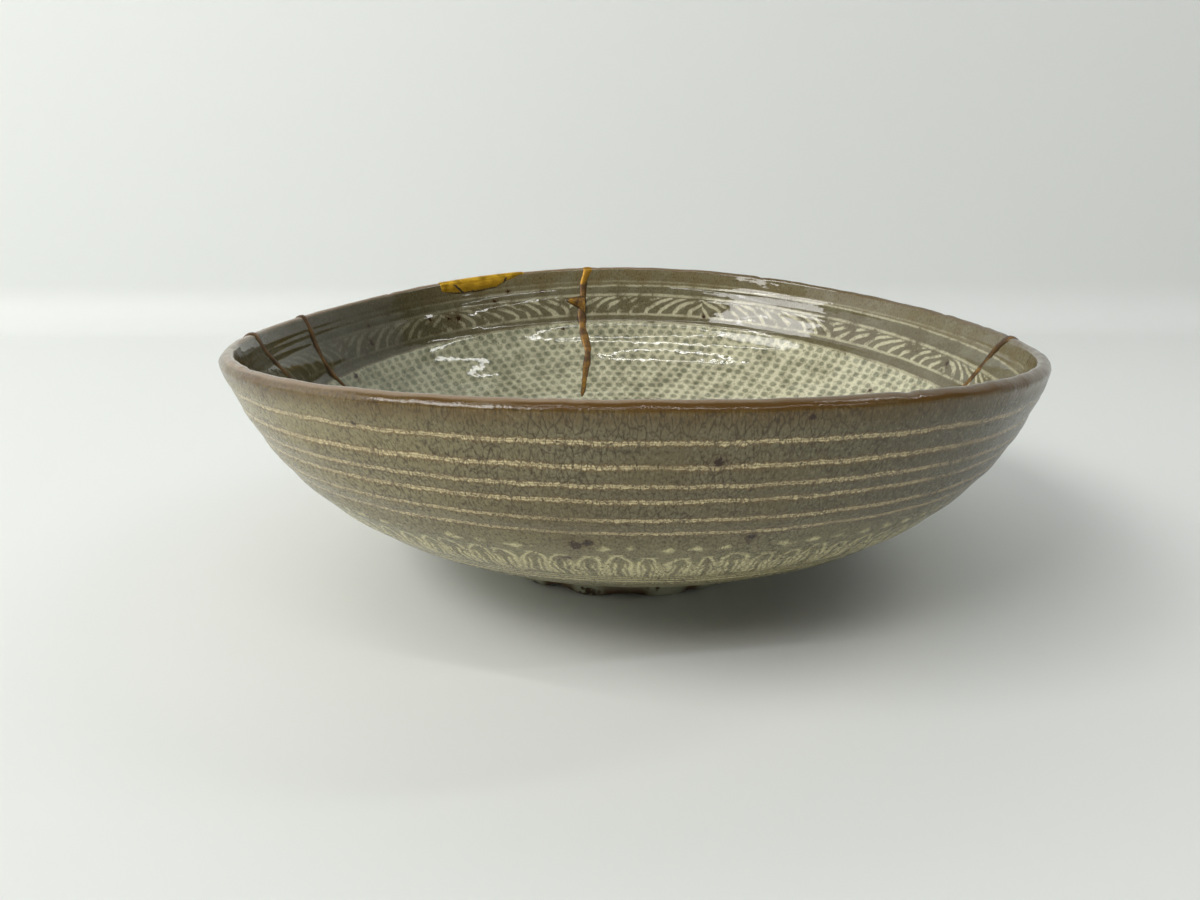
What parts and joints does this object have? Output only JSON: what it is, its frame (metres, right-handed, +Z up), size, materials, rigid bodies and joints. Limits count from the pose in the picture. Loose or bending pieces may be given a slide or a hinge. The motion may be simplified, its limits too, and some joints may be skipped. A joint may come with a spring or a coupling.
{
  "type": "kintsugi bowl",
  "caption": "Wide shallow stoneware bowl on a low foot ring, its warped rim and wall mended with gold lacquer: one rim fill and four seams.",
  "frame": {"origin": "on the table, under the middle of the rim; the foot ring stands on z = 0", "axes": "+Z up out of the bowl; -Y is the side that faces the viewer, with the rim fill and the long seam at +Y and the other seams at -X and +X"},
  "size_m": [0.1783, 0.1786, 0.0613],
  "materials": {
    "glazed_stoneware": "grey-green celadon glaze over white slip inlay, finely crackled, worn brown at the lip and the foot",
    "burnished_gold": "gold powder over lacquer, burnished",
    "aged_gold_lacquer": "brown lacquer seam with worn gold powder, satin"
  },
  "bodies": {
    "root": {"bowl_body": "glazed_stoneware", "rim_fill": "burnished_gold", "seam_back": "aged_gold_lacquer", "seam_left": "aged_gold_lacquer", "seam_front_left": "aged_gold_lacquer", "seam_right": "aged_gold_lacquer"}
  },
  "joints": []
}
